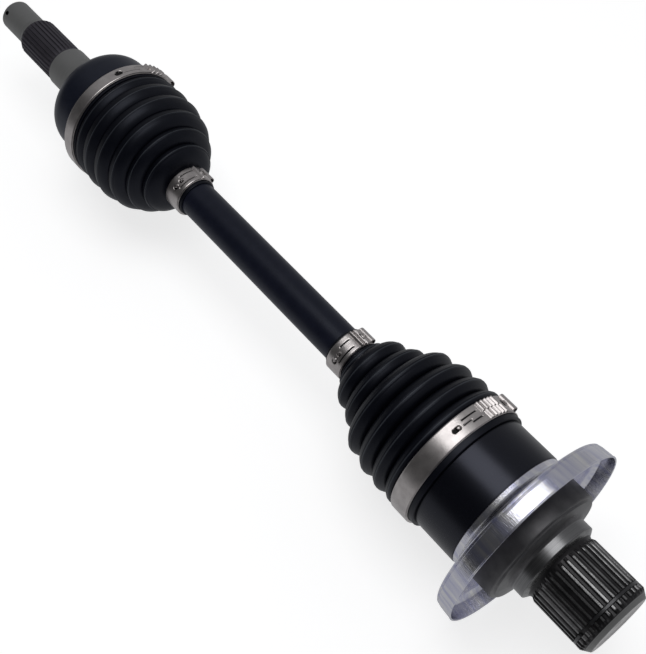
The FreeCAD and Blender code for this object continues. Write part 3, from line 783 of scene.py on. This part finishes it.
def relief_sheet(name, r, x0, x1, low, high, thick, height, is_painted_shade):
    """A closed curved sheet on the band whose top is raised and sunk by height(angle, across).

    The faces where is_painted_shade(angle, across) holds get the dark material, as painted shade.
    """
    cell = 0.32
    edge_fall = 0.22
    rows = int((high - low) * (r + thick) / cell)
    cols = int((x1 - x0) / cell)
    mid = (x0 + x1) / 2
    verts = []

    def add(x, radius, a):
        verts.append((x * MM, radius * math.cos(a) * MM, radius * math.sin(a) * MM))
        return len(verts) - 1

    top = []
    for i in range(rows + 1):
        a = low + (high - low) * i / rows
        row = []
        for k in range(cols + 1):
            x = x0 + (x1 - x0) * k / cols
            rim = min(x - x0, x1 - x, (a - low) * r + 0.2, (high - a) * r + 0.2)
            fall = edge_fall * (1 - smooth(rim / 0.35))
            row.append(add(x, r + max(thick + height(a, x - mid) - fall, 0.05), a))
        top.append(row)
    under = [[add(x, r, low + (high - low) * i / rows) for x in (x0, x1)] for i in range(rows + 1)]
    faces = []
    dark = []
    for i in range(rows):
        a = low + (high - low) * (i + 0.5) / rows
        for k in range(cols):
            faces.append((top[i][k], top[i + 1][k], top[i + 1][k + 1], top[i][k + 1]))
            dark.append(is_painted_shade(a, x0 + (x1 - x0) * (k + 0.5) / cols - mid))
        faces.append((under[i][0], under[i][1], under[i + 1][1], under[i + 1][0]))
        faces.append((under[i][0], under[i + 1][0], top[i + 1][0], top[i][0]))
        faces.append((under[i + 1][1], under[i][1], top[i][-1], top[i + 1][-1]))
        dark += [False] * 3
    faces.append(tuple(under[0][::-1] + top[0]))
    faces.append(tuple(under[-1] + top[-1][::-1]))
    dark += [False] * 2
    obj = mesh_object(name, verts, faces, 50)
    obj.data.materials.append(CLAMP)
    obj.data.materials.append(CLAMP_PAINTED_SHADE)
    obj.data.polygons.foreach_set("material_index", [int(d) for d in dark])
    return obj


def make_clamp(node, body, cuff_r, slots, grooves, folds, ear, pinch, rise=1.55, crimp=0.95):
    """One band clamp: a full turn under a tail that ends in an ear.

    slots: (angle, length, width) of the windows, each with a hook standing in it.
    grooves: (angle from, angle to, across) of pressed lines along the band.
    folds: angles of the crimps across the band. ear: angle of the ear.
    pinch: (angle, length, width) of a bright pressed dimple, or None.
    rise and crimp: how high the hooks and the crimps stand. With no rise there is no hook.
    """
    lo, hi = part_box(node)
    x0 = lo.x / MM
    x1 = hi.x / MM
    middle = (x0 + x1) / 2
    width = x1 - x0
    is_large = cuff_r > 30
    spread, ear_w, ear_h, hook_gap = (0.75, 5.0, 2.2, 3.6) if is_large else (0.6, 3.8, 1.7, 2.6)
    r = cuff_r + 0.06
    base = r + BAND_T + 0.02
    top = base + BAND_T
    low = math.radians(ear)
    high = math.radians(TAIL_END)
    pitch = (folds[0] - folds[-1]) / max(len(folds) - 1, 1)
    staggered = len(folds) > 2

    def arc(a, degrees):
        return (a - math.radians(degrees)) * top

    def groove_depth(a, across, groove):
        a0, a1, off = groove
        half = abs(math.radians(a1 - a0)) * top / 2
        return pad(arc(a, (a0 + a1) / 2), across - off, half, 0.36, 0.16)

    def slot_depth(a, across, slot):
        angle, length, wide = slot
        return pad(arc(a, angle), across, length / 2, wide / 2)

    def hook_height(a, across, slot):
        angle, length, wide = slot
        return pad(arc(a, angle) + length * 0.22, across, wide * 0.40, wide * 0.30)

    def height(a, across):
        h = 0.0
        # the crimps: ridges with valleys between them, in two rows half a pitch apart where there are several
        for angle in folds:
            d = arc(a, angle - (0.5 * pitch if staggered and across > 0 else 0.0))
            h += crimp * math.exp(-(d / spread) ** 2)
            h -= 0.55 * math.exp(-((abs(d) - 2.2 * spread) / (0.5 * spread)) ** 2)
        for groove in grooves:
            h -= 0.50 * groove_depth(a, across, groove)
        for slot in slots:
            h += rise * hook_height(a, across, slot) - BAND_T * slot_depth(a, across, slot)
        if pinch:
            angle, length, wide = pinch
            h += 0.5 * pad(arc(a, angle), across, length / 2, wide / 2, 0.5)
        return h

    # painted shade: the deep middle of each pressed groove, and each window with no hook standing in it
    def is_painted_shade(a, across):
        if any(groove_depth(a, across, groove) > 0.7 for groove in grooves):
            return True
        for slot in slots:
            is_hook = rise and hook_height(a, across, slot) >= 0.4
            if not is_hook and slot_depth(a, across, slot) > 0.55:
                return True
        return False

    seam = math.radians(ear - 40)
    turns = 180
    band = strip(node + "_band", [(seam + TURN * i / turns, r) for i in range(turns + 1)], x0, x1, BAND_T)
    tail = relief_sheet(node + "_tail", base, x0 + 0.3, x1 - 0.3, low, high, BAND_T, height, is_painted_shade)
    # the ear: a fold of the band that stands up at the end of the tail, open underneath
    fold = []
    for i in range(33):
        u = i / 32
        up = ear_h * math.sqrt(max(0.0, 1 - abs(2 * u - 1) ** 3))
        fold.append((low + (u * ear_w - ear_w * 0.8) / top, base - 0.1 + up))
    ear_piece = strip(node + "_ear", fold, x0 + 0.6, x1 - 0.6, 0.7)
    # a hook pushed through the band just before the ear, and a thin dark box beside it as painted shade in
    # the opening it came from
    hook_a = low + hook_gap / top
    hook = rounded_box(node + "_hook", middle, hook_a, top - 0.35, 1.6, width * 0.24, 1.3)
    opening_shade = rounded_box(node + "_opening", middle, hook_a + 2.2 / top, top - 0.55, 2.2, width * 0.34, 0.62,
                          bevel=0.1)
    for obj in (band, ear_piece, hook):
        dress(obj, CLAMP, "clamp_steel")
    dress(opening_shade, CLAMP_PAINTED_SHADE, "clamp_steel")
    for obj in (band, tail, ear_piece, hook, opening_shade):
        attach(obj, body)
        if obj is not opening_shade:
            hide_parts(node)


make_clamp("outboard_boot_clamp_large", "outboard_joint_bell", 40.4, [(83.5, 5.4, 3.6)],
           [(62, 79, 0.9), (55, 66, -2.0)], (51, 46, 41, 36, 31), 21, None, rise=0.0, crimp=1.5)
make_clamp("outboard_boot_clamp_small", "shaft", SMALL_CUFF, [(131, 3.6, 3.2), (110, 3.0, 2.6)],
           [(63, 108, -2.9), (72, 126, 3.0)], (58,), 26, (47, 2.6, 3.0))
make_clamp("inboard_boot_clamp_small", "shaft", SMALL_CUFF, [(153, 3.4, 3.2), (133, 2.6, 2.4)],
           [(92, 120, -2.0), (96, 148, 3.2)], (78, 68), 44, (58, 2.4, 3.0))
make_clamp("inboard_boot_clamp_large", "inboard_joint_cup", 40.3, [(97, 5.4, 2.7)],
           [(75, 90, -2.2), (74, 84, 2.2), (83, 91, 0.6)], (70, 65.5, 61, 56.5, 52), 36, None)


# ------------------------------------------------------------------ snap ring and the pieces that stay as CAD
def make_snap_ring():
    """A wire ring with a gap of 26 degrees."""
    inner_r = 20.65
    wire = 1.6
    start = math.radians(164)
    sweep = math.radians(334)
    path = [(start + sweep * i / 120, inner_r) for i in range(121)]
    obj = strip("stub_snap_ring_wire", path, snap_lo[0], snap_hi[0], wire)
    dress(obj, RING, "ring_steel")
    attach(obj, "inboard_joint_cup")
    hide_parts("stub_snap_ring")


make_snap_ring()

# the first part of a node's name that matches gives its look
CAD_LOOKS = {"inner_race": (RACE, "race_steel"), "cage": (CAGE, "cage_steel"), "ring": (RING, "ring_steel"),
             "_ball_": (BALL, "ball_steel")}
for node_name, node in frame["nodes"].items():
    if node.hide_render:
        continue
    for key, (material, slot_name) in CAD_LOOKS.items():
        if key in node_name:
            dress(node, material, slot_name)
            break


# ------------------------------------------------------------------ floor, light and camera
def make_floor():
    z = CAD_LO.z - 0.0005
    size = 6.0
    mesh = bpy.data.meshes.new("floor")
    corners = [(-size, -size, z), (size, -size, z), (size, size, z), (-size, size, z)]
    mesh.from_pydata(corners, [], [(0, 1, 2, 3)])
    obj = linked("floor", mesh)
    mat, bsdf = new_material("pale_floor")
    bsdf.inputs["Base Color"].default_value = (0.60, 0.60, 0.605, 1)
    bsdf.inputs["Roughness"].default_value = 0.9
    bsdf.inputs["Specular IOR Level"].default_value = 0.1
    bsdf.inputs["Emission Color"].default_value = (1.0, 1.0, 1.0, 1)
    bsdf.inputs["Emission Strength"].default_value = 0.74
    # gloss picks up the room's dimmer lower half instead of the glowing sheet
    obj.visible_glossy = False
    obj.data.materials.append(mat)


def make_key_light():
    """A soft square light over the axle's middle, facing down."""
    data = bpy.data.lights.new("key_light", "AREA")
    data.energy = 3.2
    data.size = 0.7
    obj = linked("key_light", data)
    obj.location = (0.0, 0.0, 1.03)
    obj.rotation_mode = "QUATERNION"
    obj.rotation_quaternion = Vector((0.0, 0.0, -1.0)).to_track_quat("-Z", "Y")


def make_world():
    """A soft room: pale overhead and on the far side, dim on the near side, and an even grey below."""
    world = bpy.data.worlds.new("studio")
    bpy.context.scene.world = world
    world.use_nodes = True
    nodes = world.node_tree.nodes
    links = world.node_tree.links
    background = nodes["Background"]
    background.inputs["Color"].default_value = (0.97, 0.98, 1.0, 1)
    coord = nodes.new("ShaderNodeTexCoord")
    towards_far_top = nodes.new("ShaderNodeVectorMath")
    towards_far_top.operation = "DOT_PRODUCT"
    towards_far_top.inputs[1].default_value = (0.0, 0.75, 0.66)
    links.new(coord.outputs["Generated"], towards_far_top.inputs[0])
    level = nodes.new("ShaderNodeMapRange")
    level.interpolation_type = "SMOOTHSTEP"
    level.inputs["From Min"].default_value = -0.10
    level.inputs["From Max"].default_value = 0.60
    level.inputs["To Min"].default_value = 0.05
    level.inputs["To Max"].default_value = 0.33
    links.new(towards_far_top.outputs["Value"], level.inputs["Value"])
    axes = nodes.new("ShaderNodeSeparateXYZ")
    links.new(coord.outputs["Generated"], axes.inputs[0])
    below = nodes.new("ShaderNodeMapRange")
    below.interpolation_type = "SMOOTHSTEP"
    below.inputs["From Min"].default_value = 0.02
    below.inputs["From Max"].default_value = -0.22
    links.new(axes.outputs["Z"], below.inputs["Value"])
    blend = nodes.new("ShaderNodeMix")
    links.new(below.outputs["Result"], blend.inputs[0])
    links.new(level.outputs["Result"], blend.inputs[2])
    blend.inputs[3].default_value = 0.42
    links.new(blend.outputs[0], background.inputs["Strength"])


def make_camera():
    """Looks down along the axle from the inboard end, with the outboard end up and to the left."""
    forward = Vector((-0.4237, 0.3492, -0.8358)).normalized()
    right = Vector((0.6361, 0.7716, 0.0)).normalized()
    right = (right - forward * right.dot(forward)).normalized()
    up = right.cross(forward)
    aim = Vector((0.0332, 0.0, 0.0))
    distance = 0.6355
    data = bpy.data.cameras.new("camera")
    data.sensor_width = 36.0
    data.lens = 58.35
    data.clip_start = 0.01
    data.clip_end = 20
    camera = linked("camera", data)
    camera.location = aim + right * 0.0176 - up * 0.01855 - forward * distance
    camera.rotation_mode = "QUATERNION"
    camera.rotation_quaternion = forward.to_track_quat("-Z", "Y")
    bpy.context.scene.camera = camera
    bpy.context.scene.view_settings.view_transform = "Standard"


make_floor()
make_world()
make_key_light()
make_camera()
